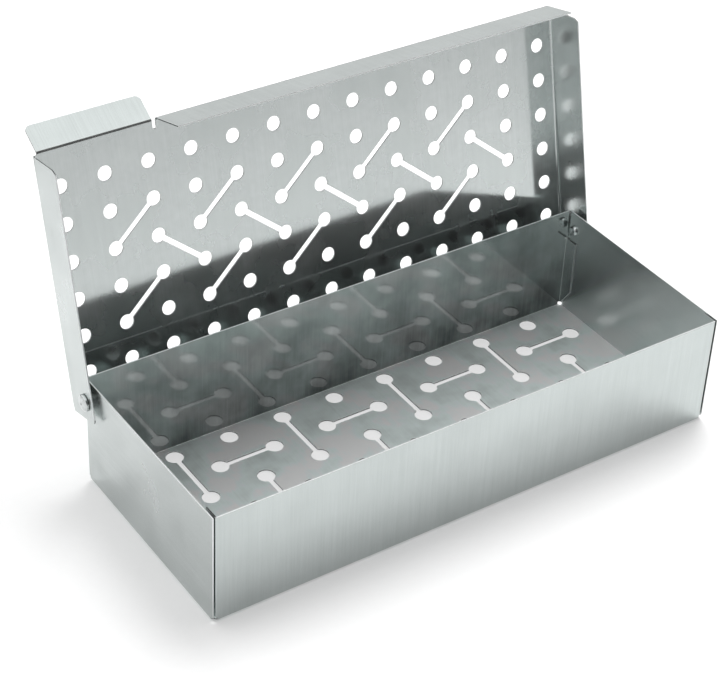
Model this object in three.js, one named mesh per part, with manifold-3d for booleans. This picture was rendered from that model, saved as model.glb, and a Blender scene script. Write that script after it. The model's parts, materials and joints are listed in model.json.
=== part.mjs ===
// A smoker box: a folded stainless tray for wood chips, under a perforated lid that is hinged to it and stands
// open.
// Millimetres, +Z up, +X along the box, -Y to its front. The origin is the middle of the tray's underside.
import * as THREE from "three";
import { mergeVertices } from "three/addons/utils/BufferGeometryUtils.js";
import Module from "manifold-3d";

const wasm = await Module();
wasm.setup();

// Sheet metal, alike in the tray and the lid
const sheet = 0.8;
const trayBendInside = 0.3;
const lidBendInside = 1.5;
const bendSteps = 5;

// Tray: the long walls end in tabs that are bent in beside the end walls
const trayLength = 331.4;
const trayDepth = 134.6;
const trayHeight = 69.7;
const cornerSeam = 0.8;
const endWallInset = 0.2;
const cornerTabReach = 9.6;
const cornerTabFoot = 2.4;
const cornerTabBelowHinge = 8.6;
const cornerTabNotch = 1;
const cornerTabChamferWidth = 8;
const cornerTabChamferHeight = 12;
const cornerReliefRadius = 1.1;

// Floor perforation: staggered holes, some of them joined in pairs by a slot
const floorColumns = 18;
const floorRows = 6;
const floorHoleRadius = 5.2;
const floorSlotWidth = 3;
const floorMarginLeft = 13;
const floorMarginRight = 14.95;
const floorMarginBack = 9.4;
const floorMarginFront = 24.7;

// Hinge
const hingeFromBack = 6.3;
const hingeBelowRim = 11.4;
const openAngle = THREE.MathUtils.degToRad(103.2);

// Lid, as it lies level over the tray
const lidEndOverhang = 3.5;
const lidFrontOverhang = 9.8;
const lidRearOverhang = 4.7;
const panelAboveHinge = 17.8;
const endFlangeDepth = 26.7;
const endFlangeTaper = 1.6;
const endFlangeChamferWidth = 2;
const endFlangeChamferHeight = 3.4;
const endFlangeHeelRadius = 3;
const frontFlangeDepth = 23.7;
const frontFlangeTaper = 1.7;
const frontFlangeFoldInset = 3.3;
const frontFlangeEndInset = 2.5;
const lidCornerSeam = 1.8;

// Lid perforation: a square-set grid, with slots that zigzag from row to row
const lidColumns = 13;
const lidRows = 6;
const lidHoleRadius = 4.25;
const lidSlotWidth = 2.9;
const lidMarginLeft = 12.9;
const lidMarginRight = 11.7;
const lidMarginFront = 22.7;
const lidMarginRear = 18.4;

// Lifting tab at the left end of the lid's front edge, and the slit that parts it from the front flange
const tabInset = 2.6;
const tabSetback = 1.4;
const tabWidth = 67.7;
const tabLength = 15.9;
const tabBend = THREE.MathUtils.degToRad(46);
const tabCornerRadius = 3.4;
const slitWidth = 2;
const slitDepth = 6.2;

// Rivets with a wide, low head outside the lid and a formed tail inside the tray
const shankRadius = 2;
const headRadius = 5;
const headRim = 1.2;
const headHeight = 2.4;
const tailRadius = 3.3;
const tailHeight = 1.9;
const dimpleRadius = 1.2;
const dimpleDepth = 0.8;
const domeSteps = 4;

// Washers that hold the lid's ends off the tray
const washerRadius = 3.2;

// Gaps that let the lid turn, and the play of a hole round its rivet
const turningGap = 0.3;
const rivetPlay = 0.3;

// Making: how far a cutter runs past what it cuts, and how far a fold laps into the flat sheet
const overrun = 2;
const lap = 1.5;
const holeSegments = 18;
const roundSegments = 24;

// Sizes that follow from the ones above
const halfLength = trayLength / 2;
const halfDepth = trayDepth / 2;
const trayBend = sheet + trayBendInside;
const lidBend = sheet + lidBendInside;
const hingeY = halfDepth - hingeFromBack;
const hingeZ = trayHeight - hingeBelowRim;
const innerEnd = halfLength - sheet;
const tabEnd = innerEnd - cornerSeam;
const cornerTabTop = hingeZ - cornerTabBelowHinge;
const lidHalf = halfLength + lidEndOverhang;
const lidFlat = lidHalf - lidBend;
const lidFront = hingeFromBack - trayDepth - lidFrontOverhang;
const lidRear = hingeFromBack + lidRearOverhang;
const panelTop = panelAboveHinge + sheet;
const panelTangent = panelTop - lidBend;
const stripStart = lidFront + lidBend + lap;
const endFlangeFront = lidFront + sheet + lidCornerSeam;
const endFlangeLow = panelTop - endFlangeDepth;
const frontFlangeLow = panelTop - frontFlangeDepth;
const tabFold = lidFront + tabSetback;
const tabLeft = tabInset - lidHalf;
const slitLeft = tabLeft + tabWidth;
const slitRight = slitLeft + slitWidth;
// The rear lip stops the open lid: its lower edge comes to rest against the back wall.
const lipLow = (hingeFromBack + turningGap - lidRear * Math.cos(openAngle)) / Math.sin(openAngle);

const steel = (color, roughness) => new THREE.MeshStandardMaterial({ color, roughness, metalness: 1 });
const traySteel = steel(0xb9bfbe, 0.38);
const lidSteel = steel(0xb4bab9, 0.34);
const rivetSteel = steel(0xc8cccb, 0.28);
const washerSteel = steel(0xa9aeae, 0.4);

function toSolid(geometry) {
  geometry.deleteAttribute("normal");
  geometry.deleteAttribute("uv");
  const merged = mergeVertices(geometry);
  return new wasm.Manifold(
    new wasm.Mesh({
      numProp: 3,
      vertProperties: new Float32Array(merged.attributes.position.array),
      triVerts: new Uint32Array(merged.index.array),
    }),
  );
}

function toMesh(name, solid, material) {
  const { vertProperties, triVerts } = solid.getMesh();
  const geometry = new THREE.BufferGeometry();
  geometry.setAttribute("position", new THREE.BufferAttribute(vertProperties, 3));
  geometry.setIndex(new THREE.BufferAttribute(triVerts, 1));
  geometry.computeVertexNormals();
  const mesh = new THREE.Mesh(geometry, material);
  mesh.name = name;
  return mesh;
}

const join = (solids) => solids.reduce((whole, solid) => whole.add(solid));

// The axes that an outline's x and y are laid on, and the way in which it is extruded.
const axisX = new THREE.Vector3(1, 0, 0);
const axisY = new THREE.Vector3(0, 1, 0);
const axisZ = new THREE.Vector3(0, 0, 1);
const alongX = [axisY, axisZ, axisX];
const alongY = [axisX, axisZ, axisY.clone().negate()];
const alongZ = [axisX, axisY, axisZ];

// Extrudes outlines along an axis, from one place on it to another.
function extrude(shapes, axes, from, to) {
  const geometry = new THREE.ExtrudeGeometry(shapes, {
    depth: to - from,
    bevelEnabled: false,
    curveSegments: holeSegments / 2,
  });
  const start = axes === alongY ? -to : from;
  geometry.translate(0, 0, start);
  geometry.applyMatrix4(new THREE.Matrix4().makeBasis(...axes));
  return toSolid(geometry);
}

const outline = (points) => new THREE.Shape(points.map(([x, y]) => new THREE.Vector2(x, y)));

const rectangle = (x0, y0, x1, y1) => outline([[x0, y0], [x1, y0], [x1, y1], [x0, y1]]);

// The section of a folded strip. Its corners lie on one face, and the sheet is on the left of their run.
function folded(corners, bendInside) {
  const points = corners.map(([x, y]) => new THREE.Vector2(x, y));
  const leftOf = (way) => new THREE.Vector2(-way.y, way.x);
  const face = [];
  const back = [];
  points.forEach((corner, i) => {
    const into = i > 0 ? corner.clone().sub(points[i - 1]).normalize() : null;
    const out = i < points.length - 1 ? points[i + 1].clone().sub(corner).normalize() : null;
    if (!into || !out) {
      face.push(corner);
      back.push(corner.clone().addScaledVector(leftOf(into || out), sheet));
      return;
    }
    const turn = Math.atan2(into.cross(out), into.dot(out));
    const side = Math.sign(turn);
    const faceRadius = side > 0 ? sheet + bendInside : bendInside;
    const centre = corner
      .clone()
      .addScaledVector(into, -faceRadius * Math.tan(Math.abs(turn) / 2))
      .addScaledVector(leftOf(into), faceRadius * side);
    for (let step = 0; step <= bendSteps; step += 1) {
      const spoke = leftOf(into)
        .multiplyScalar(-side)
        .rotateAround(new THREE.Vector2(), (turn * step) / bendSteps);
      face.push(centre.clone().addScaledVector(spoke, faceRadius));
      back.push(centre.clone().addScaledVector(spoke, faceRadius - side * sheet));
    }
  });
  return new THREE.Shape([...face, ...back.reverse()]);
}

// Where a sheet stands whose outer face is at a distance on one side of the middle, low to high.
const sheetAt = (side, outer) => (side < 0 ? [-outer, sheet - outer] : [outer - sheet, outer]);

const roundHole = ([x, y], radius) => new THREE.Shape().absarc(x, y, radius, 0, 2 * Math.PI, false);

// Two round holes joined by a straight slot.
function slottedPair([x0, y0], [x1, y1], radius, width) {
  const heading = Math.atan2(y1 - y0, x1 - x0);
  const mouth = Math.asin(width / 2 / radius);
  return new THREE.Shape()
    .absarc(x0, y0, radius, heading + mouth, heading + 2 * Math.PI - mouth, false)
    .absarc(x1, y1, radius, heading - Math.PI + mouth, heading + Math.PI - mouth, false);
}

// Every place of a grid is a hole. Pairs of places are joined by a slot, and the rest stay round.
function perforation(places, pairs, toPoint, radius, width) {
  const paired = new Set(pairs.flat().map(String));
  const single = places.filter((place) => !paired.has(String(place)));
  return [
    ...single.map((place) => roundHole(toPoint(place), radius)),
    ...pairs.map(([from, to]) => slottedPair(toPoint(from), toPoint(to), radius, width)),
  ];
}

function gridPlaces(columns, rows) {
  const places = [];
  for (let row = 0; row < rows; row += 1) {
    for (let column = 0; column < columns; column += 1) {
      places.push([column, row]);
    }
  }
  return places;
}

// The floor's rows count from the back wall, and every other place is left out, so that they are staggered.
function floorHoles() {
  const columnPitch = (trayLength - floorMarginLeft - floorMarginRight) / (floorColumns - 1);
  const rowPitch = (trayDepth - floorMarginBack - floorMarginFront) / (floorRows - 1);
  const toPoint = ([column, row]) => [
    floorMarginLeft - halfLength + column * columnPitch,
    halfDepth - floorMarginBack - row * rowPitch,
  ];
  const places = gridPlaces(floorColumns, floorRows).filter(([column, row]) => (column + row) % 2 === 0);
  const pairs = [];
  for (let column = 0; column < floorColumns; column += 4) {
    pairs.push([[column + 2, 0], [column + 2, 2]]);
    pairs.push([[column + 3, 1], [column + 5, 1]]);
    pairs.push([[column, 2], [column, 4]]);
    pairs.push([[column + 1, 5], [column + 3, 5]]);
  }
  const onFloor = ([column, row]) => column < floorColumns && row < floorRows;
  const held = pairs.filter((pair) => pair.every(onFloor));
  return perforation(places, held, toPoint, floorHoleRadius, floorSlotWidth);
}

// The lid's rows count from its front edge.
function lidHoles() {
  const columnPitch = (2 * lidHalf - lidMarginLeft - lidMarginRight) / (lidColumns - 1);
  const rowPitch = (lidRear - lidMarginRear - lidFront - lidMarginFront) / (lidRows - 1);
  const toPoint = ([column, row]) => [
    lidMarginLeft - lidHalf + column * columnPitch,
    lidFront + lidMarginFront + row * rowPitch,
  ];
  const pairs = [];
  for (let column = 2; column < lidColumns - 1; column += 2) {
    pairs.push([[column, 1], [column - 1, 2]]);
    pairs.push([[column, 2], [column + 1, 3]]);
    pairs.push([[column, 3], [column - 1, 4]]);
  }
  return perforation(gridPlaces(lidColumns, lidRows), pairs, toPoint, lidHoleRadius, lidSlotWidth);
}

// Cuts the rivet holes of both ends at once.
function hingeBore(y, z) {
  const radius = shankRadius + rivetPlay;
  const pin = new THREE.CylinderGeometry(radius, radius, 2 * (lidHalf + overrun), roundSegments);
  pin.rotateZ(Math.PI / 2);
  pin.translate(0, y, z);
  return toSolid(pin);
}

// One strip of the tray: up one wall, across the floor and up the other.
function trough(axes, half, end) {
  const corners = [[-half, trayHeight], [-half, 0], [half, 0], [half, trayHeight]];
  return extrude(folded(corners, trayBendInside), axes, -end, end);
}

// A long wall's corner tabs, bent in at both ends beside the end walls, and what the wall has above them. The
// front wall's tabs run up to the rim and stand free of the end walls. The back wall's tabs are joined to the
// end walls and stop below the rivets, under a plain stretch.
function longWallEnds(side) {
  const end = side < 0 ? tabEnd : innerEnd;
  const plan = [
    [-end, cornerTabReach - halfDepth],
    [-end, -halfDepth],
    [end, -halfDepth],
    [end, cornerTabReach - halfDepth],
  ];
  const section = folded(plan.map(([x, y]) => [-side * x, -side * y]), trayBendInside);
  const tabEdge = side * (halfDepth - cornerTabReach);
  const chamfer = outline([
    [tabEdge, cornerTabFoot + cornerTabChamferHeight],
    [tabEdge + side * cornerTabChamferWidth, cornerTabFoot],
    [tabEdge + side * cornerTabChamferWidth, cornerTabFoot - overrun],
    [tabEdge - side * overrun, cornerTabFoot - overrun],
    [tabEdge - side * overrun, cornerTabFoot + cornerTabChamferHeight],
  ]);
  const tabTop = side < 0 ? trayHeight : cornerTabTop;
  const tabs = extrude(section, alongZ, cornerTabFoot, tabTop).subtract(
    extrude(chamfer, alongX, -halfLength, halfLength),
  );
  if (side < 0) {
    return tabs;
  }
  const [low, high] = sheetAt(side, halfDepth);
  const upper = rectangle(-tabEnd, low, tabEnd, high);
  return tabs.add(extrude(upper, alongZ, cornerTabTop + cornerTabNotch, trayHeight));
}

// An end wall stands past its fold, almost to the corners.
function endWall(side) {
  const reach = halfDepth - endWallInset;
  const face = rectangle(-reach, cornerTabFoot, reach, trayHeight);
  return extrude(face, alongX, ...sheetAt(side, halfLength));
}

// Round reliefs where the folds of two walls meet.
function cornerReliefs() {
  const [x, y] = [halfLength - trayBend, halfDepth - trayBend];
  const places = [[-x, -y], [x, -y], [-x, y], [x, y]];
  return extrude(places.map((place) => roundHole(place, cornerReliefRadius)), alongZ, -overrun, cornerTabFoot);
}

function makeTray() {
  const body = join([
    trough(alongX, halfDepth, tabEnd - trayBend),
    trough(alongY, halfLength, halfDepth - trayBend),
    ...[-1, 1].flatMap((side) => [longWallEnds(side), endWall(side)]),
  ]);
  const solid = body
    .subtract(extrude(floorHoles(), alongZ, -overrun, sheet + overrun))
    .subtract(cornerReliefs())
    .subtract(hingeBore(hingeY, hingeZ));
  return toMesh("tray", solid, traySteel);
}

// The lid is made level, with the hinge line at its origin.
function lidPanel() {
  const section = [[lidRear, lipLow], [lidRear, panelTop], [stripStart - lap / 2, panelTop]];
  return extrude(folded(section, lidBendInside), alongX, -lidFlat, lidFlat);
}

function lidFrontFlange() {
  const fold = [[stripStart, panelTop], [lidFront, panelTop], [lidFront, panelTangent - lap]];
  const foldEnd = lidHalf - frontFlangeFoldInset;
  const face = outline([
    [slitRight, panelTangent],
    [slitRight + frontFlangeTaper, frontFlangeLow],
    [lidHalf - frontFlangeEndInset, frontFlangeLow],
    [foldEnd, panelTangent],
  ]);
  return extrude(folded(fold, lidBendInside), alongX, slitRight, foldEnd).add(
    extrude(face, alongY, lidFront, lidFront + sheet),
  );
}

function lidEndFlanges() {
  const fold = [
    [lidHalf, panelTangent - lap],
    [lidHalf, panelTop],
    [-lidHalf, panelTop],
    [-lidHalf, panelTangent - lap],
  ];
  const heel = [lidRear - endFlangeHeelRadius, endFlangeLow + endFlangeHeelRadius];
  const face = new THREE.Shape()
    .moveTo(endFlangeFront, panelTangent)
    .lineTo(endFlangeFront + endFlangeTaper, endFlangeLow + endFlangeChamferHeight)
    .lineTo(endFlangeFront + endFlangeTaper + endFlangeChamferWidth, endFlangeLow)
    .absarc(...heel, endFlangeHeelRadius, -Math.PI / 2, 0, false)
    .lineTo(lidRear, panelTangent);
  return join([
    extrude(folded(fold, lidBendInside), alongY, endFlangeFront, lidRear - lidBend),
    ...[-1, 1].map((side) => extrude(face, alongX, ...sheetAt(side, lidHalf))),
  ]);
}

// The lifting tab is bent up and away from the tray, and its free corners are round.
function liftingTab() {
  const reach = lidBend + lap + overrun;
  const long = tabLength + overrun;
  const rise = new THREE.Vector3(0, -Math.cos(tabBend), Math.sin(tabBend));
  const fold = [
    [stripStart, panelTop],
    [tabFold, panelTop],
    [tabFold + long * rise.y, panelTop + long * rise.z],
  ];
  const cornerHeight = tabLength - tabCornerRadius;
  const blank = new THREE.Shape()
    .moveTo(tabLeft, -reach)
    .lineTo(slitLeft, -reach)
    .absarc(slitLeft - tabCornerRadius, cornerHeight, tabCornerRadius, 0, Math.PI / 2, false)
    .absarc(tabLeft + tabCornerRadius, cornerHeight, tabCornerRadius, Math.PI / 2, Math.PI, false);
  const cutter = new THREE.ExtrudeGeometry(blank, { depth: 2 * reach, bevelEnabled: false });
  cutter.translate(0, 0, -reach);
  cutter.applyMatrix4(new THREE.Matrix4().makeBasis(axisX, rise, axisX.clone().cross(rise)));
  cutter.translate(0, tabFold, panelTop);
  const strip = extrude(folded(fold, lidBendInside), alongX, tabLeft - overrun, slitLeft + overrun);
  return strip.intersect(toSolid(cutter));
}

function makeLid() {
  const slit = rectangle(slitLeft, lidFront - overrun, slitRight, lidFront + slitDepth);
  const solid = join([lidPanel(), lidFrontFlange(), lidEndFlanges(), liftingTab()])
    .subtract(extrude([slit, ...lidHoles()], alongZ, panelAboveHinge - overrun, panelTop + overrun))
    .subtract(hingeBore(0, 0));
  return toMesh("lid", solid, lidSteel);
}

function turned(name, path, material) {
  const mesh = new THREE.Mesh(new THREE.LatheGeometry(path.getPoints(domeSteps), roundSegments), material);
  mesh.name = name;
  return mesh;
}

// A rivet stands on the inner face of the tray's end wall, and its axis points out of the tray.
function makeRivet(name) {
  const seat = sheet + lidEndOverhang + turningGap;
  const crown = seat + headHeight;
  const profile = new THREE.Path()
    .moveTo(0, dimpleDepth - tailHeight)
    .lineTo(dimpleRadius, -tailHeight)
    .quadraticCurveTo(tailRadius, -tailHeight, tailRadius, 0)
    .lineTo(shankRadius, 0)
    .lineTo(shankRadius, seat)
    .lineTo(headRadius, seat)
    .lineTo(headRadius, seat + headRim)
    .quadraticCurveTo(headRadius - headRim, crown, dimpleRadius, crown)
    .lineTo(0, crown - dimpleDepth);
  return turned(name, profile, rivetSteel);
}

function makeWasher(name) {
  const bore = shankRadius + rivetPlay;
  const top = lidEndOverhang - turningGap;
  const profile = new THREE.Path()
    .moveTo(bore, sheet)
    .lineTo(washerRadius, sheet)
    .lineTo(washerRadius, top)
    .lineTo(bore, top)
    .lineTo(bore, sheet);
  return turned(name, profile, washerSteel);
}

// The two ends are alike: a rivet through tray, washer and lid, with its head outside.
function hingeEnd(sideName, side) {
  const end = new THREE.Group();
  end.position.set(side * innerEnd, hingeY, hingeZ);
  end.rotation.z = (-side * Math.PI) / 2;
  end.add(makeRivet(`hinge_rivet_${sideName}`), makeWasher(`hinge_washer_${sideName}`));
  return end;
}

const openLid = new THREE.Group();
openLid.position.set(0, hingeY, hingeZ);
openLid.rotation.x = -openAngle;
openLid.add(makeLid());

const smokerBox = new THREE.Group();
smokerBox.add(makeTray(), openLid, hingeEnd("left", -1), hingeEnd("right", 1));

export default smokerBox;
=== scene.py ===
"""Looks of a hinged stainless smoker box.

They are its brushed sheet, cut edges, rivets and washers, and the studio round it.
"""

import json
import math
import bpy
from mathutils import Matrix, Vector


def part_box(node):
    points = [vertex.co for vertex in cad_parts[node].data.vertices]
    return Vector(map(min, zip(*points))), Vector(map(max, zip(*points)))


bl_info = {
    "name": "Smoker box looks",
    "version": (1, 0, 0),
    "blender": (4, 5, 0),
    "location": "View3D > Sidebar > Smoker box",
    "description": "Finishes the tray, lid, rivets and washers of a smoker box, with its studio",
    "category": "Object",
}

import bmesh
import bpy
from bpy.props import FloatProperty, FloatVectorProperty, PointerProperty
from mathutils import Matrix, Vector

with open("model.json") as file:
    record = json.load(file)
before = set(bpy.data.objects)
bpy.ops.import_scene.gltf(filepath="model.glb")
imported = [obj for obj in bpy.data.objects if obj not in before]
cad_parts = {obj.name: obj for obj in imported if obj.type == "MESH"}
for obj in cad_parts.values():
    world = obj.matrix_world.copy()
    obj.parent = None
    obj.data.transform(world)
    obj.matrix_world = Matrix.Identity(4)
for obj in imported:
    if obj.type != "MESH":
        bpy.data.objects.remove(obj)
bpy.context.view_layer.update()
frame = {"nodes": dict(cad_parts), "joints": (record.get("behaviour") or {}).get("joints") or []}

MM = 0.001
RIVETS = ("hinge_rivet_left", "hinge_rivet_right")
WASHERS = ("hinge_washer_left", "hinge_washer_right")

# Which way a face points is told by the cosine of its angle to an axis.
FACING = 0.7
# Packed faces share no corners. Corners this close are one.
WELD = 0.001 * MM
# Flat neighbours closer than this angle are one face.
FLAT = math.radians(0.2)
# How much large flat faces lead in the shading of the narrow ones beside them, up to 100.
FLAT_LEAD = 100
# Folds flatter than this are shaded as round.
FOLD = math.radians(60)
# A cut edge has more metal behind it than this many sheet thicknesses.
CUT_DEPTH_SHARE = 2.5
# The metal behind a face is looked for as far as this.
LOOK_DEPTH = 1000 * MM
# A cut face smaller than this many squares of the sheet's thickness is punched. A larger one is sheared.
PUNCHED_SHARE = 24
# How many finer noises lie in each noise, and how strong they are beside it.
LINE_NOISE = (2.0, 0.5)
BAND_NOISE = (3.0, 0.6)
CLOUD_NOISE = (3.0, 0.55)
WAVE_NOISE = (1.0, 0.5)
STAIN_NOISE = (4.0, 0.6)
MARK_NOISE = (2.0, 0.5)
# Noise lies mostly between these two shares.
NOISE_SHARES = (0.25, 0.75)
# Material slots of a broken edge: that of sheared edges, or that of the faces beside it.
SHEARED_SLOT = 1
SAME_SLOT = -1
# The lid has no face that counts as the inside of a back wall.
NO_INSIDE = (0.0, 1.0)
# How far the floor, and the pad on it that glows to paint light under the tray's holes, lie under the
# box.
FLOOR_DROP = 1.0 * MM
PAD_DROP = 0.5 * MM
# Grains of the paper on the floor, in a metre, and how much lighter or darker they are.
PAPER_GRAINS = 300.0
PAPER_SHADE = 0.01
# The studio's walls turn into its ceiling between these two slopes.
CEILING_SHARES = (0.1, 0.8)
WHITE = (1.0, 1.0, 1.0, 1.0)
BLACK = (0.0, 0.0, 0.0, 1.0)


def size_property(name, description, default, low=0.0, high=1.0):
    """A length in metres."""
    return FloatProperty(
        name=name, description=description, default=default, min=low, max=high,
        precision=5, subtype="DISTANCE", unit="LENGTH",
    )


def share_property(name, description, default, high=1.0):
    """A plain number from zero up."""
    return FloatProperty(
        name=name, description=description, default=default, min=0.0, max=high, subtype="FACTOR",
    )


def angle_property(name, description, degrees):
    """An angle, given here in degrees."""
    return FloatProperty(
        name=name, description=description, default=math.radians(degrees),
        min=-math.pi, max=math.pi, subtype="ANGLE", unit="ROTATION",
    )


def colour_property(name, description, default):
    """A plain surface colour."""
    return FloatVectorProperty(
        name=name, description=description, default=default, size=3, min=0.0, max=1.0,
        subtype="COLOR",
    )


class SheetFinish(bpy.types.PropertyGroup):
    """The brushed stainless sheet that the tray and the lid are folded from."""

    thickness: size_property("Thickness", "Thickness of the sheet", 0.8 * MM)
    lean: angle_property("Lid's lean", "How far past upright the open lid leans back", 13.2)
    colour: colour_property("Sheet colour", "Colour of the brushed face", (0.58, 0.625, 0.617))
    polish: share_property("Polish", "How far the smooth metal between the brush lines blurs", 0.09)
    worn_polish: share_property("Worn polish", "How far the tray's worn floor blurs", 0.72)
    end_polish: share_property("Ends polish", "How far the ends blur", 0.25)
    haze: share_property("Haze", "Strength of the haze that brush lines lay over the mirror", 0.06)
    lid_haze: share_property("Lid haze", "Strength of the haze on the lid's panel", 0.5)
    floor_haze: share_property("Floor haze", "Strength of the haze on the tray's floor", 0.3)
    end_haze: share_property("Ends haze", "Strength of the haze on the ends", 0.4)
    haze_spread: share_property("Haze spread", "How far the haze spreads light", 0.45)
    haze_index: FloatProperty(
        name="Haze index", description="Index that sets how much light the haze takes",
        default=4.0, min=1.0, max=4.0,
    )
    # Painted light, not wear: the tray's floor gets a paler colour than the rest of the sheet.
    painted_floor_light: share_property("Floor lift", "How much paler the tray's worn floor is", 0.62)
    # Painted shade: the inside of the back wall is darkened, most at its foot and less at its rim.
    painted_shade_at_foot: share_property("Inner shade", "How much darker the inner back wall is at its foot", 0.74)
    painted_shade_at_rim: share_property("Rim shade", "How much darker the inner back wall is at its rim", 0.3)
    haze_clouds: share_property("Haze clouds", "How much the haze differs between patches", 0.45)
    line_haze: share_property("Line haze", "How much the haze differs from line to line", 0.1)
    brushing: share_property("Brushing", "How much more it blurs across than along the grain", 0.5)
    line_width: size_property("Line width", "Width of a fine brush line", 0.7 * MM)
    line_length: size_property("Line length", "Length of a fine brush line", 30 * MM)
    band_width: size_property("Band width", "Width of a band of like brush lines", 2.4 * MM)
    band_length: size_property("Band length", "Length of a band of like brush lines", 140 * MM)
    cloud_size: size_property("Cloud size", "Size of the cloudy patches left by rolling", 30 * MM)
    wave_size: size_property("Wave size", "Size of the shallow waves in the flat sheet", 85 * MM)
    wave_height: size_property("Wave height", "Height of the shallow waves", 0.05 * MM)
    line_height: size_property("Line height", "Depth of the brush lines", 0.002 * MM)
    line_shade: share_property("Line shade", "How much brush lines differ in colour", 0.075)
    cloud_shade: share_property("Cloud shade", "How much cloudy patches differ in colour", 0.05)
    inner_cloud_shade: share_property("Inner cloud shade", "The same, inside the back wall", 0.2)
    worn_cloud_shade: share_property("Worn cloud shade", "The same, on the tray's worn floor", 0.36)
    end_cloud_shade: share_property("Ends cloud shade", "The same, on the ends", 0.1)


class EdgeFinish(bpy.types.PropertyGroup):
    """The sheared and punched edges of the sheet."""

    colour: colour_property("Cut colour", "Colour of a sheared edge", (0.92, 0.94, 0.94))
    # The punched colour is near black: painted shade in the walls of the holes, over the duller metal
    # that punching leaves.
    punched: colour_property("Punched colour", "Colour of punched walls", (0.1, 0.11, 0.11))
    roughness: share_property("Cut roughness", "Roughness of a cut edge", 0.42)
    break_width: size_property("Edge break", "Width of the broken corner along each edge", 0.1 * MM)
    corner: angle_property("Sharp corner", "A fold sharper than this is an edge, and is broken", 40)
    shear_width: size_property("Shear mark", "Width of the marks that shearing leaves", 0.15 * MM)
    shear_height: size_property("Shear depth", "Depth of the marks that shearing leaves", 0.01 * MM)
    shade: share_property("Shear shade", "How much the marks differ in colour", 0.12)


class RivetFinish(bpy.types.PropertyGroup):
    """The rivets and the washers of the hinge."""

    rivet_colour: colour_property("Rivet colour", "Colour of the rivets", (0.66, 0.69, 0.69))
    washer_colour: colour_property("Washer colour", "Colour of the washers", (0.48, 0.5, 0.5))
    rivet_roughness: share_property("Rivet roughness", "Roughness of the rivets", 0.2)
    washer_roughness: share_property("Washer roughness", "Roughness of the washers", 0.36)
    ring_width: size_property("Ring width", "Distance between the rings left by forming", 0.35 * MM)
    ring_height: size_property("Ring height", "Depth of the rings left by forming", 0.006 * MM)
    stain_size: size_property("Stain size", "Size of the dull patches", 2.2 * MM)
    stain_spread: share_property("Stain spread", "How much the dull patches differ", 0.16)
    break_width: size_property("Edge break", "Width of the broken edges", 0.15 * MM)


class Studio(bpy.types.PropertyGroup):
    """The floor, the glowing pad that paints light under the tray's holes, the surroundings, the lamp and
    the camera.
    """

    floor_size: size_property("Floor size", "Length of the floor's sides", 8.0, high=20.0)
    floor_shade: share_property("Floor shade", "How much light the floor sends back", 0.7)
    floor_white: share_property("Floor white", "Light added so that the floor shows white", 0.23)
    floor_mirrored: share_property("Floor mirrored", "Share of that light that steel mirrors", 0.38)
    pad_shade: share_property("Pad shade", "How much light the pad sends back", 0.25)
    pad_white: share_property("Pad white", "Light added where the pad shows through holes", 0.52)
    pad_mirrored: share_property("Pad mirrored", "Share of that light that steel mirrors", 0.88)
    pad_margin: size_property("Pad margin", "How far it ends inside the tray's outline", 2 * MM)
    overhead: share_property("Overhead", "Brightness of the ceiling", 1.2, high=4.0)
    horizon: share_property("Horizon", "Brightness of the walls at floor level", 0.8, high=4.0)
    dark: share_property("Dark side", "Brightness of the camera side", 0.07, high=4.0)
    dark_from: angle_property("Dark from", "Angle off its middle where it has faded out", 61)
    dark_to: angle_property("Dark to", "Angle off its middle where it starts to fade", 50)
    dark_azimuth: angle_property("Dark azimuth", "Where its middle stands, from the front", 0)
    dark_height: angle_property("Dark height", "How high its middle stands", 10)
    back_azimuth: angle_property("Back azimuth", "Which way steel mirrors the floor dark", 156)
    floor_lit: size_property("Floor lit", "How far that way it is still lit", 0.24, high=4.0)
    floor_dark: size_property("Floor dark", "How far that way it is all dark", 0.3, high=4.0)
    key_power: FloatProperty(
        name="Key power", description="Power of the large soft lamp", default=11.0,
        min=0.0, max=500.0, subtype="POWER", unit="POWER",
    )
    key_size: size_property("Key size", "Width of the large soft lamp", 0.8, high=5.0)
    key_distance: size_property("Key distance", "Distance of the lamp from the box", 1.1, high=5.0)
    key_azimuth: angle_property("Key azimuth", "Where the lamp stands, from the front", 124)
    key_height: angle_property("Key height", "How high the lamp stands", 62)
    camera_azimuth: angle_property("Camera azimuth", "Where it stands, from the front", -35.319)
    camera_height: angle_property("Camera height", "How far the camera looks down", 36.034)
    camera_roll: angle_property("Camera roll", "How far the camera is turned about its view", 2.787)
    camera_distance: size_property("Camera distance", "Distance of the camera", 1.15462, high=5.0)
    camera_lens: FloatProperty(
        name="Lens", description="Focal length on a 36 mm sensor", default=104.55,
        min=10.0, max=300.0, subtype="DISTANCE_CAMERA", unit="CAMERA",
    )
    camera_aim: FloatVectorProperty(
        name="Aim", description="Point that the camera looks at", size=3,
        default=(-0.020997, 0.018512, 0.071371), subtype="TRANSLATION", unit="LENGTH",
    )


class SmokerBoxSettings(bpy.types.PropertyGroup):
    """All settings of the smoker box."""

    sheet: PointerProperty(type=SheetFinish, name="Sheet", description="The brushed sheet")
    edge: PointerProperty(type=EdgeFinish, name="Edges", description="The cut edges")
    rivet: PointerProperty(type=RivetFinish, name="Rivets", description="The rivets and washers")
    studio: PointerProperty(type=Studio, name="Studio", description="The floor, lamps and camera")


def add_node(tree, kind, label, inputs=None, **settings):
    """Adds a node. An input is a value, or the socket that feeds it."""
    node = tree.nodes.new(kind)
    node.label = label
    for name, value in settings.items():
        setattr(node, name, value)
    for name, value in (inputs or {}).items():
        if isinstance(value, bpy.types.NodeSocket):
            tree.links.new(value, node.inputs[name])
        else:
            node.inputs[name].default_value = value
    return node


def calculate(tree, label, operation, *values):
    """A sum on numbers."""
    node = add_node(tree, "ShaderNodeMath", label, dict(enumerate(values)), operation=operation)
    return node.outputs[0]


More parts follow.
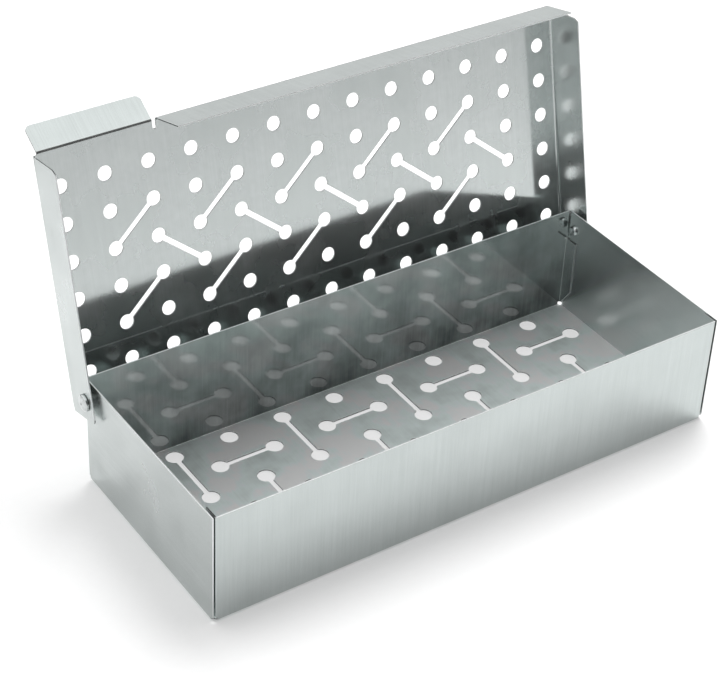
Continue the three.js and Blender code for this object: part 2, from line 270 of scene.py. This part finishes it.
def calculate_vector(tree, label, operation, *values):
    """A sum on vectors. A product of two that is a number comes from the Value output."""
    inputs = dict(enumerate(values))
    node = add_node(tree, "ShaderNodeVectorMath", label, inputs, operation=operation)
    return node.outputs["Value" if operation in {"DOT_PRODUCT", "LENGTH"} else "Vector"]


def between(tree, label, factor, low, high):
    """Turns a share from nothing to all into a number from low to high."""
    inputs = {"Value": factor, "To Min": low, "To Max": high}
    return add_node(tree, "ShaderNodeMapRange", label, inputs).outputs["Result"]


def swing(tree, label, pattern, spread):
    """A number about nought that follows a noise, and goes about as far as spread each way."""
    low, high = NOISE_SHARES
    inputs = {"Value": pattern, "From Min": low, "From Max": high, "To Min": -spread, "To Max": spread}
    return add_node(tree, "ShaderNodeMapRange", label, inputs, clamp=False).outputs["Result"]


def noise(tree, label, place, scale, detail, roughness):
    """A noise at a place, whose features are about one over scale wide."""
    node = add_node(tree, "ShaderNodeTexNoise", label,
                    {"Vector": place, "Scale": scale, "Detail": detail, "Roughness": roughness})
    return node.outputs["Fac"]


def new_material(name):
    """An empty material, and its node tree."""
    material = bpy.data.materials.new(name)
    material.use_nodes = True
    material.node_tree.nodes.clear()
    return material, material.node_tree


def finish_material(tree, surface):
    """Joins the surface to the material's output."""
    add_node(tree, "ShaderNodeOutputMaterial", "Surface", {"Surface": surface.outputs[0]})


def shaded(tree, label, colour, shade):
    """A plain colour, made lighter or darker by a share."""
    factor = calculate(tree, label, "ADD", 1.0, shade)
    inputs = {0: tuple(colour), "Scale": factor}
    return add_node(tree, "ShaderNodeVectorMath", label, inputs, operation="SCALE").outputs["Vector"]


def grain_of_sheet(tree, depth_axis):
    """The place of a point, its place in the grain, the way across the grain, and two kinds of face.

    The grain runs from the sheet's front to its back, and up the walls that are folded there. On the
    ends it runs level. depth_axis points from front to back in the flat sheet. The two numbers at the
    end are one on the ends, and one on the flat of the sheet.
    """
    long_axis = Vector((1, 0, 0))
    rise_axis = long_axis.cross(depth_axis)
    place = add_node(tree, "ShaderNodeTexCoord", "Place on the piece")
    point, facing = place.outputs["Object"], place.outputs["Normal"]
    axes = {"long": long_axis, "depth": depth_axis, "rise": rise_axis}
    at = {
        name: calculate_vector(tree, f"Place, {name}", "DOT_PRODUCT", point, tuple(axis))
        for name, axis in axes.items()
    }

    def faces(name):
        cosine = calculate_vector(tree, f"Facing, {name}", "DOT_PRODUCT", facing, tuple(axes[name]))
        size = calculate(tree, f"Facing, {name}", "ABSOLUTE", cosine)
        return calculate(tree, f"Faces {name}", "GREATER_THAN", size, FACING)

    on_end = faces("long")
    across = add_node(tree, "ShaderNodeMix", "Across the grain",
                      {0: on_end, 2: at["long"], 3: at["rise"]})
    off_end = calculate(tree, "Off the ends", "SUBTRACT", 1.0, on_end)
    risen = calculate(tree, "Risen", "MULTIPLY", off_end, at["rise"])
    along = calculate(tree, "Along the grain", "ADD", at["depth"], risen)
    grain = add_node(tree, "ShaderNodeCombineXYZ", "Grain",
                     {"X": across.outputs[0], "Y": along, "Z": on_end}).outputs["Vector"]
    turned = calculate_vector(tree, "Across the faces", "CROSS_PRODUCT", facing, tuple(depth_axis))
    way = add_node(tree, "ShaderNodeMix", "Way across the grain",
                   {0: faces("depth"), 4: turned, 5: tuple(long_axis)}, data_type="VECTOR")
    world = add_node(tree, "ShaderNodeVectorTransform", "Way in the scene",
                     {"Vector": way.outputs[1]},
                     vector_type="VECTOR", convert_from="OBJECT", convert_to="WORLD")
    return point, grain, world.outputs["Vector"], on_end, faces("rise")


def stretched(tree, label, grain, width, length):
    """Grain coordinates in which a brush line of this width and length is one unit."""
    return calculate_vector(tree, label, "MULTIPLY", grain, (1 / width, 1 / length, 1.0))


def make_sheet_material(name, depth_axis, flat, inside_of, sheet):
    """Brushed stainless sheet, with fine lines, bands of lines, cloudy patches and shallow waves.

    flat says how the flat of the sheet differs; its lift is painted light that makes the flat paler.
    inside_of is the depth up to which a face of the back wall counts as its inside, and the wall's
    height. That inside gets painted shade, most of all at its foot.
    """
    material, tree = new_material(name)
    inner_depth, inner_height = inside_of
    point, grain, across, on_end, on_flat = grain_of_sheet(tree, depth_axis)
    fine = stretched(tree, "Fine lines", grain, sheet.line_width, sheet.line_length)
    broad = stretched(tree, "Bands", grain, sheet.band_width, sheet.band_length)
    lines = noise(tree, "Fine lines", fine, 1.0, *LINE_NOISE)
    bands = noise(tree, "Bands", broad, 1.0, *BAND_NOISE)
    clouds = noise(tree, "Clouds", point, 1 / sheet.cloud_size, *CLOUD_NOISE)
    waves = noise(tree, "Waves", point, 1 / sheet.wave_size, *WAVE_NOISE)
    summed = calculate(tree, "Lines", "ADD", lines, bands)
    both = calculate(tree, "Lines in bands", "MULTIPLY", summed, 0.5)

    def by_face(label, plain, at_end, at_flat):
        """A number for the long walls, one for the ends and one for the flat of the sheet."""
        ends = add_node(tree, "ShaderNodeMix", f"{label}, ends", {0: on_end, 2: plain, 3: at_end})
        inputs = {0: on_flat, 2: ends.outputs[0], 3: at_flat}
        return add_node(tree, "ShaderNodeMix", label, inputs).outputs[0]

    depth = calculate_vector(tree, "Depth", "DOT_PRODUCT", point, tuple(depth_axis))
    rear = calculate(tree, "Rear half", "GREATER_THAN", depth, 0.0)
    before = calculate(tree, "Before the outside", "LESS_THAN", depth, inner_depth)
    inside = calculate(tree, "Inside", "MULTIPLY", rear, before)
    # Painted shade inside the back wall: darkest at its foot, lighter towards its rim.
    up = add_node(tree, "ShaderNodeMapRange", "Up the wall",
                  {"Value": calculate_vector(tree, "Height", "DOT_PRODUCT", point, (0.0, 0.0, 1.0)),
                   "From Min": 0.0, "From Max": inner_height,
                   "To Min": -sheet.painted_shade_at_foot, "To Max": -sheet.painted_shade_at_rim}).outputs[0]
    inner = calculate(tree, "Inner shade", "MULTIPLY", inside, up)
    patchy = between(tree, "Clouds inside", inside, sheet.cloud_shade, sheet.inner_cloud_shade)
    # Tone: random shade of the brush lines, plus painted shade inside the back wall and painted light on
    # the flat.
    tone = calculate(tree, "Tone", "ADD", swing(tree, "Line shade", both, sheet.line_shade),
                     by_face("Tone", inner, 0.0, flat["lift"]))
    cloudy = by_face("Cloud shade", patchy, sheet.end_cloud_shade, flat["cloud_shade"])
    swung = swing(tree, "Clouds", clouds, 1.0)
    shade = calculate(tree, "Shade", "MULTIPLY_ADD", swung, cloudy, tone)
    roughness = by_face("Polish", sheet.polish, sheet.end_polish, flat["polish"])
    uneven = calculate(tree, "Uneven haze", "ADD",
                       swing(tree, "Haze clouds", clouds, sheet.haze_clouds),
                       swing(tree, "Haze lines", both, sheet.line_haze))
    even = by_face("Haze", sheet.haze, sheet.end_haze, flat["haze"])
    factor = calculate(tree, "Uneven haze", "ADD", 1.0, uneven)
    haze = calculate(tree, "Haze", "MULTIPLY", even, factor)
    wavy = add_node(tree, "ShaderNodeBump", "Shallow waves",
                    {"Strength": 1.0, "Distance": sheet.wave_height, "Height": waves})
    brushed = add_node(tree, "ShaderNodeBump", "Brush lines",
                       {"Strength": 1.0, "Distance": sheet.line_height, "Height": lines,
                        "Normal": wavy.outputs["Normal"]})
    steel = add_node(tree, "ShaderNodeBsdfPrincipled", "Brushed steel",
                     {"Base Color": shaded(tree, "Steel colour", sheet.colour, shade),
                      "Metallic": 1.0, "Roughness": roughness, "Anisotropic": sheet.brushing,
                      "Tangent": across, "Normal": brushed.outputs["Normal"],
                      "Coat Weight": haze, "Coat Roughness": sheet.haze_spread,
                      "Coat IOR": sheet.haze_index, "Coat Normal": wavy.outputs["Normal"]})
    finish_material(tree, steel)
    return material


def make_edge_material(name, plain, edge):
    """Metal of a sheared or punched edge, with the marks of the blade."""
    material, tree = new_material(name)
    point = add_node(tree, "ShaderNodeTexCoord", "Place on the piece").outputs["Object"]
    marks = noise(tree, "Shear marks", point, 1 / edge.shear_width, *MARK_NOISE)
    bump = add_node(tree, "ShaderNodeBump", "Shear marks",
                    {"Strength": 1.0, "Distance": edge.shear_height, "Height": marks})
    colour = shaded(tree, "Cut colour", plain, swing(tree, "Shear shade", marks, edge.shade))
    cut = add_node(tree, "ShaderNodeBsdfPrincipled", "Cut steel",
                   {"Base Color": colour, "Metallic": 1.0, "Roughness": edge.roughness,
                    "Normal": bump.outputs["Normal"]})
    finish_material(tree, cut)
    return material


def make_turned_material(name, colour, roughness, rivet):
    """Formed steel with faint rings round the hinge line and dull patches."""
    material, tree = new_material(name)
    pivot = frame["joints"][0]["pos_m"]
    point = add_node(tree, "ShaderNodeTexCoord", "Place on the piece").outputs["Object"]
    middle = (0.0, pivot[1], pivot[2])
    from_pivot = calculate_vector(tree, "From the hinge line", "SUBTRACT", point, middle)
    flat = calculate_vector(tree, "Off the hinge line", "MULTIPLY", from_pivot, (0.0, 1.0, 1.0))
    radius = calculate_vector(tree, "Radius", "LENGTH", flat)
    turns = calculate(tree, "Rings", "MULTIPLY", radius, 2 * math.pi / rivet.ring_width)
    rings = calculate(tree, "Rings", "SINE", turns)
    stains = noise(tree, "Dull patches", point, 1 / rivet.stain_size, *STAIN_NOISE)
    swung = swing(tree, "Dull", stains, rivet.stain_spread)
    dull = calculate(tree, "Roughness", "ADD", roughness, swung)
    bump = add_node(tree, "ShaderNodeBump", "Rings",
                    {"Strength": 1.0, "Distance": rivet.ring_height, "Height": rings})
    stained = swing(tree, "Stained", stains, -rivet.stain_spread)
    tone = shaded(tree, "Formed steel colour", colour, stained)
    steel = add_node(tree, "ShaderNodeBsdfPrincipled", "Formed steel",
                     {"Base Color": tone, "Metallic": 1.0, "Roughness": dull,
                      "Normal": bump.outputs["Normal"]})
    finish_material(tree, steel)
    return material


def geometry_tree(name):
    """A node tree that takes a shape in and gives it out, with both of its end sockets."""
    tree = bpy.data.node_groups.new(name, "GeometryNodeTree")
    tree.interface.new_socket("Shape", in_out="INPUT", socket_type="NodeSocketGeometry")
    tree.interface.new_socket("Shape", in_out="OUTPUT", socket_type="NodeSocketGeometry")
    start = add_node(tree, "NodeGroupInput", "Shape in")
    end = add_node(tree, "NodeGroupOutput", "Shape out")
    return tree, start.outputs[0], end.inputs[0]


def joined_tree(name, thickness=None):
    """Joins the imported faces.

    With a thickness, sheared faces get the second material and punched ones the third.
    """
    tree, shape, result = geometry_tree(name)
    joined = add_node(tree, "GeometryNodeMergeByDistance", "Join corners",
                      {"Geometry": shape, "Distance": WELD}).outputs[0]
    if thickness is None:
        tree.links.new(joined, result)
        return tree
    place = add_node(tree, "GeometryNodeInputPosition", "Place").outputs[0]
    facing = add_node(tree, "GeometryNodeInputNormal", "Facing").outputs["Normal"]
    inward = calculate_vector(tree, "Inward", "MULTIPLY", facing, (-1.0, -1.0, -1.0))
    step = calculate_vector(tree, "Just inside", "MULTIPLY", inward, (WELD,) * 3)
    start = calculate_vector(tree, "Just inside", "ADD", place, step)
    ray = add_node(tree, "GeometryNodeRaycast", "Metal behind",
                   {"Target Geometry": joined, "Source Position": start, "Ray Direction": inward,
                    "Ray Length": LOOK_DEPTH})
    deep = add_node(tree, "FunctionNodeCompare", "Cut edge",
                    {0: ray.outputs["Hit Distance"], 1: thickness * CUT_DEPTH_SHARE},
                    operation="GREATER_THAN")
    area = add_node(tree, "GeometryNodeInputMeshFaceArea", "Face area").outputs[0]
    small = calculate(tree, "Punched", "LESS_THAN", area, PUNCHED_SHARE * thickness**2)
    slot = calculate(tree, "Which edge", "ADD", small, 1.0)
    marked = add_node(tree, "GeometryNodeSetMaterialIndex", "Cut edges",
                      {"Geometry": joined, "Selection": deep.outputs[0], "Material Index": slot})
    tree.links.new(marked.outputs[0], result)
    return tree


def smoothed_tree(name, corner):
    """Shades a shape smooth, but for edges sharper than a corner."""
    tree, shape, result = geometry_tree(name)
    smooth = add_node(tree, "GeometryNodeSetShadeSmooth", "Smooth", {0: shape})
    angle = add_node(tree, "GeometryNodeInputMeshEdgeAngle", "Fold")
    sharp = add_node(tree, "FunctionNodeCompare", "Sharp",
                     {0: angle.outputs["Unsigned Angle"], 1: corner}, operation="GREATER_THAN")
    clean = add_node(tree, "GeometryNodeSetMeshNormal", "Plain normals",
                     {"Mesh": smooth.outputs[0], "Remove Custom": True,
                      "Edge Sharpness": sharp.outputs[0], "Face Sharpness": False})
    tree.links.new(clean.outputs[0], result)
    return tree


def break_edges(piece, corner, width, edge_slot, thickness=None):
    """Breaks a piece's sharp edges by a narrow bevel, and shades its folds as round.

    edge_slot is the material slot of the bevel.
    """
    joined = piece.modifiers.new("Joined faces", "NODES")
    joined.node_group = joined_tree(f"{piece.name} joined", thickness)
    flat = piece.modifiers.new("Flat faces", "DECIMATE")
    flat.decimate_type = "DISSOLVE"
    flat.angle_limit = FLAT
    flat.delimit = {"MATERIAL"}
    bevel = piece.modifiers.new("Broken edges", "BEVEL")
    bevel.width = width
    bevel.segments = 1
    bevel.limit_method = "ANGLE"
    bevel.angle_limit = corner
    bevel.use_clamp_overlap = False
    bevel.material = edge_slot
    smooth = piece.modifiers.new("Smooth folds", "NODES")
    smooth.node_group = smoothed_tree(f"{piece.name} smooth", FOLD)
    weighted = piece.modifiers.new("Flat faces lead", "WEIGHTED_NORMAL")
    weighted.weight = FLAT_LEAD
    weighted.keep_sharp = True


def dress(piece, *materials):
    """Gives a piece these materials in place of the plain one that it was packed with."""
    piece.data.materials.clear()
    for material in materials:
        piece.data.materials.append(material)


def edge_material(name, plain, edge):
    """An edge material, which the tray and the lid share."""
    return bpy.data.materials.get(name) or make_edge_material(name, plain, edge)


def finish_sheet(node_name, material_name, depth_axis, flat, inside_of, settings):
    """Dresses the tray or the lid, and breaks its edges."""
    piece = frame["nodes"][node_name]
    sheet, edge = settings.sheet, settings.edge
    face = make_sheet_material(material_name, depth_axis, flat, inside_of, sheet)
    sheared = edge_material("Sheared edge", edge.colour, edge)
    # Punched hole walls get a near-black colour, which paints the shade in the holes.
    punched = edge_material("Punched edge", edge.punched, edge)
    dress(piece, face, sheared, punched)
    break_edges(piece, edge.corner, edge.break_width, SHEARED_SLOT, sheet.thickness)


def finish_hinge_pieces(names, material_name, colour, roughness, settings):
    """Gives the rivets or the washers one formed steel, and breaks their edges."""
    steel = make_turned_material(material_name, colour, roughness, settings.rivet)
    for name in names:
        piece = frame["nodes"][name]
        dress(piece, steel)
        break_edges(piece, settings.edge.corner, settings.rivet.break_width, SAME_SLOT)


class SMOKERBOX_OT_tray(bpy.types.Operator):
    """Gives the tray its brushed sheet and its cut edges"""

    bl_idname = "smokerbox.tray"
    bl_label = "Tray"
    bl_options = {"REGISTER", "UNDO"}

    def execute(self, context):
        settings = context.scene.smoker_box
        sheet = settings.sheet
        top_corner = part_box("tray")[1]
        inside_of = (top_corner[1] - sheet.thickness / 2, top_corner[2])
        # The floor's lift is painted light: a paler colour on the tray's floor.
        flat = {"polish": sheet.worn_polish, "haze": sheet.floor_haze, "lift": sheet.painted_floor_light,
                "cloud_shade": sheet.worn_cloud_shade}
        finish_sheet("tray", "Tray sheet", Vector((0, 1, 0)), flat, inside_of, settings)
        return {"FINISHED"}


class SMOKERBOX_OT_lid(bpy.types.Operator):
    """Gives the lid its brushed sheet and its cut edges"""

    bl_idname = "smokerbox.lid"
    bl_label = "Lid"
    bl_options = {"REGISTER", "UNDO"}

    def execute(self, context):
        settings = context.scene.smoker_box
        sheet = settings.sheet
        depth_axis = Vector((0, math.sin(sheet.lean), math.cos(sheet.lean)))
        flat = {"polish": sheet.polish, "haze": sheet.lid_haze, "lift": 0.0,
                "cloud_shade": sheet.cloud_shade}
        finish_sheet("lid", "Lid sheet", depth_axis, flat, NO_INSIDE, settings)
        return {"FINISHED"}


class SMOKERBOX_OT_rivets(bpy.types.Operator):
    """Gives both hinge rivets their formed steel"""

    bl_idname = "smokerbox.rivets"
    bl_label = "Rivets"
    bl_options = {"REGISTER", "UNDO"}

    def execute(self, context):
        settings = context.scene.smoker_box
        colour, roughness = settings.rivet.rivet_colour, settings.rivet.rivet_roughness
        finish_hinge_pieces(RIVETS, "Rivet steel", colour, roughness, settings)
        return {"FINISHED"}


class SMOKERBOX_OT_washers(bpy.types.Operator):
    """Gives both hinge washers their formed steel"""

    bl_idname = "smokerbox.washers"
    bl_label = "Washers"
    bl_options = {"REGISTER", "UNDO"}

    def execute(self, context):
        settings = context.scene.smoker_box
        colour, roughness = settings.rivet.washer_colour, settings.rivet.washer_roughness
        finish_hinge_pieces(WASHERS, "Washer steel", colour, roughness, settings)
        return {"FINISHED"}


def flat_square(name, low, high, height):
    """A flat rectangle of the stage, which faces up."""
    mesh = bpy.data.meshes.new(name)
    shape = bmesh.new()
    corners = [(low[0], low[1]), (high[0], low[1]), (high[0], high[1]), (low[0], high[1])]
    shape.faces.new([shape.verts.new((x, y, height)) for x, y in corners])
    shape.to_mesh(mesh)
    shape.free()
    square = bpy.data.objects.new(name, mesh)
    bpy.context.scene.collection.objects.link(square)
    return square


def kinds_of_ray(tree):
    """Whether a ray comes from the camera or through glass, and whether it comes from a mirror."""
    ray = add_node(tree, "ShaderNodeLightPath", "Kind of ray").outputs
    seen = calculate(tree, "Seen", "MAXIMUM", ray["Is Camera Ray"], ray["Is Transmission Ray"])
    return seen, ray["Is Glossy Ray"]


def white_light(tree, white, mirrored):
    """Light that the camera sees, and what lies behind glass, with a share of it in mirroring steel."""
    seen, glossy = kinds_of_ray(tree)
    in_steel = calculate(tree, "In steel", "MULTIPLY", glossy, mirrored)
    seen_at_all = calculate(tree, "Seen at all", "ADD", seen, in_steel)
    return calculate(tree, "White", "MULTIPLY", seen_at_all, white)


def make_floor_material(name, shade, white, mirrored, studio):
    """A pale, matt surface that shows white, and keeps the box's shadow.

    Steel mirrors it dark behind the box.
    """
    material, tree = new_material(name)
    place = add_node(tree, "ShaderNodeTexCoord", "Place").outputs["Object"]
    speckle = noise(tree, "Paper", place, PAPER_GRAINS, *MARK_NOISE)
    tone = between(tree, "Paper tone", speckle, shade - PAPER_SHADE, shade + PAPER_SHADE)
    paper = add_node(tree, "ShaderNodeBsdfDiffuse", "Paper", {"Color": tone})
    light = add_node(tree, "ShaderNodeEmission", "White",
                     {"Color": WHITE, "Strength": white_light(tree, white, mirrored)})
    both = add_node(tree, "ShaderNodeAddShader", "Lit paper",
                    {0: paper.outputs[0], 1: light.outputs[0]})
    backward = tuple(direction(studio.back_azimuth, 0.0))
    far = calculate_vector(tree, "How far behind", "DOT_PRODUCT", place, backward)
    behind = add_node(tree, "ShaderNodeMapRange", "Behind the box",
                      {"Value": far, "From Min": studio.floor_lit,
                       "From Max": studio.floor_dark}).outputs["Result"]
    in_steel = add_node(tree, "ShaderNodeLightPath", "Kind of ray").outputs["Is Glossy Ray"]
    unlit = calculate(tree, "Dark in steel", "MULTIPLY", in_steel, behind)
    dark = add_node(tree, "ShaderNodeBsdfDiffuse", "Dark floor", {"Color": BLACK})
    shown = add_node(tree, "ShaderNodeMixShader", "Floor",
                     {0: unlit, 1: both.outputs[0], 2: dark.outputs[0]})
    finish_material(tree, shown)
    return material


def direction(azimuth, height):
    """The way to a point of the studio, turned from the front and raised from the floor."""
    level = math.cos(height)
    return Vector((math.sin(azimuth) * level, -math.cos(azimuth) * level, math.sin(height)))


def make_world(studio):
    """A plain white studio with a bright ceiling. Its camera side is dark, as steel mirrors it."""
    world = bpy.data.worlds.new("Studio")
    world.use_nodes = True
    tree = world.node_tree
    tree.nodes.clear()
    way = add_node(tree, "ShaderNodeTexCoord", "Way").outputs["Generated"]
    up = add_node(tree, "ShaderNodeSeparateXYZ", "Height", {0: way}).outputs["Z"]
    low, high = CEILING_SHARES
    bright = add_node(tree, "ShaderNodeMapRange", "Walls to ceiling",
                      {"Value": up, "From Min": low, "From Max": high,
                       "To Min": studio.horizon, "To Max": studio.overhead}).outputs["Result"]
    middle = direction(studio.dark_azimuth, studio.dark_height)
    near = calculate_vector(tree, "Near the dark side", "DOT_PRODUCT", way, tuple(middle))
    lit = add_node(tree, "ShaderNodeMapRange", "Dark side",
                   {"Value": near, "From Min": math.cos(studio.dark_to),
                    "From Max": math.cos(studio.dark_from), "To Min": 0.0, "To Max": 1.0},
                   interpolation_type="SMOOTHSTEP").outputs["Result"]
    mirrored = add_node(tree, "ShaderNodeMix", "What lights the box",
                        {0: lit, 2: studio.dark, 3: bright})
    seen = kinds_of_ray(tree)[0]
    strength = add_node(tree, "ShaderNodeMix", "White behind",
                        {0: seen, 2: mirrored.outputs[0], 3: 1.0})
    light = add_node(tree, "ShaderNodeBackground", "Studio",
                     {"Color": WHITE, "Strength": strength.outputs[0]})
    add_node(tree, "ShaderNodeOutputWorld", "World", {"Surface": light.outputs[0]})
    bpy.context.scene.world = world


def make_key(studio):
    """A large soft lamp, up to the right and behind. It throws the shadow forward and to the left."""
    lamp = bpy.data.lights.new("Key", "AREA")
    lamp.shape = "DISK"
    lamp.size = studio.key_size
    lamp.energy = studio.key_power
    key = bpy.data.objects.new("Key", lamp)
    way = direction(studio.key_azimuth, studio.key_height)
    key.location = Vector(studio.camera_aim) + way * studio.key_distance
    key.rotation_euler = way.to_track_quat("Z", "Y").to_euler()
    key.visible_glossy = False
    bpy.context.scene.collection.objects.link(key)


def make_camera(studio):
    """The camera stands to the left of the front and looks down."""
    camera = bpy.data.objects.new("Camera", bpy.data.cameras.new("Camera"))
    camera.data.lens = studio.camera_lens
    back = direction(studio.camera_azimuth, studio.camera_height)
    turn = (
        Matrix.Rotation(studio.camera_azimuth, 4, "Z")
        @ Matrix.Rotation(math.pi / 2 - studio.camera_height, 4, "X")
        @ Matrix.Rotation(studio.camera_roll, 4, "Z")
    )
    place = Vector(studio.camera_aim) + back * studio.camera_distance
    camera.matrix_world = Matrix.Translation(place) @ turn
    bpy.context.scene.collection.objects.link(camera)
    bpy.context.scene.camera = camera


class SMOKERBOX_OT_studio(bpy.types.Operator):
    """Sets up the floor, the glowing pad that paints light under the holes, the surroundings, the lamp
    and the camera
    """

    bl_idname = "smokerbox.studio"
    bl_label = "Studio"
    bl_options = {"REGISTER", "UNDO"}

    def execute(self, context):
        studio = context.scene.smoker_box.studio
        half = studio.floor_size / 2
        floor = flat_square("Floor", (-half, -half), (half, half), -FLOOR_DROP)
        dress(floor, make_floor_material("Floor", studio.floor_shade, studio.floor_white,
                                         studio.floor_mirrored, studio))
        low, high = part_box("tray")
        margin = studio.pad_margin
        low_corner = (low[0] + margin, low[1] + margin)
        high_corner = (high[0] - margin, high[1] - margin)
        # The pad glows: painted light on the floor under the tray, seen through its holes.
        pad = flat_square("Pad", low_corner, high_corner, -PAD_DROP)
        dress(pad, make_floor_material("Pad", studio.pad_shade, studio.pad_white,
                                       studio.pad_mirrored, studio))
        make_world(studio)
        make_key(studio)
        make_camera(studio)
        context.scene.view_settings.view_transform = "Standard"
        return {"FINISHED"}


class SMOKERBOX_PT_sidebar(bpy.types.Panel):
    """Lists the steps of the smoker box and its settings"""

    bl_idname = "SMOKERBOX_PT_sidebar"
    bl_label = "Smoker box"
    bl_space_type = "VIEW_3D"
    bl_region_type = "UI"
    bl_category = "Smoker box"

    def draw(self, context):
        settings = context.scene.smoker_box
        for operators, group in PANEL_ROWS:
            column = self.layout.column(align=True)
            for operator in operators:
                column.operator(operator.bl_idname)
            if group:
                values = getattr(settings, group)
                for name in values.bl_rna.properties.keys():
                    if name not in {"rna_type", "name"}:
                        column.prop(values, name)


OPERATORS = (
    SMOKERBOX_OT_tray,
    SMOKERBOX_OT_lid,
    SMOKERBOX_OT_rivets,
    SMOKERBOX_OT_washers,
    SMOKERBOX_OT_studio,
)
PANEL_ROWS = (
    ((SMOKERBOX_OT_tray, SMOKERBOX_OT_lid), "sheet"),
    ((), "edge"),
    ((SMOKERBOX_OT_rivets, SMOKERBOX_OT_washers), "rivet"),
    ((SMOKERBOX_OT_studio,), "studio"),
)
GROUPS = (SheetFinish, EdgeFinish, RivetFinish, Studio, SmokerBoxSettings)
CLASSES = (*GROUPS, *OPERATORS, SMOKERBOX_PT_sidebar)


def register():
    """Adds the settings, the steps and the panel."""
    for each in CLASSES:
        bpy.utils.register_class(each)
    bpy.types.Scene.smoker_box = PointerProperty(
        type=SmokerBoxSettings, name="Smoker box", description="Settings of the smoker box"
    )


def unregister():
    """Takes them away again."""
    del bpy.types.Scene.smoker_box
    for each in reversed(CLASSES):
        bpy.utils.unregister_class(each)


def main():
    """Runs every step in order."""
    register()
    for operator in OPERATORS:
        group, name = operator.bl_idname.split(".")
        getattr(getattr(bpy.ops, group), name)()


if __name__ == "__main__":
    main()
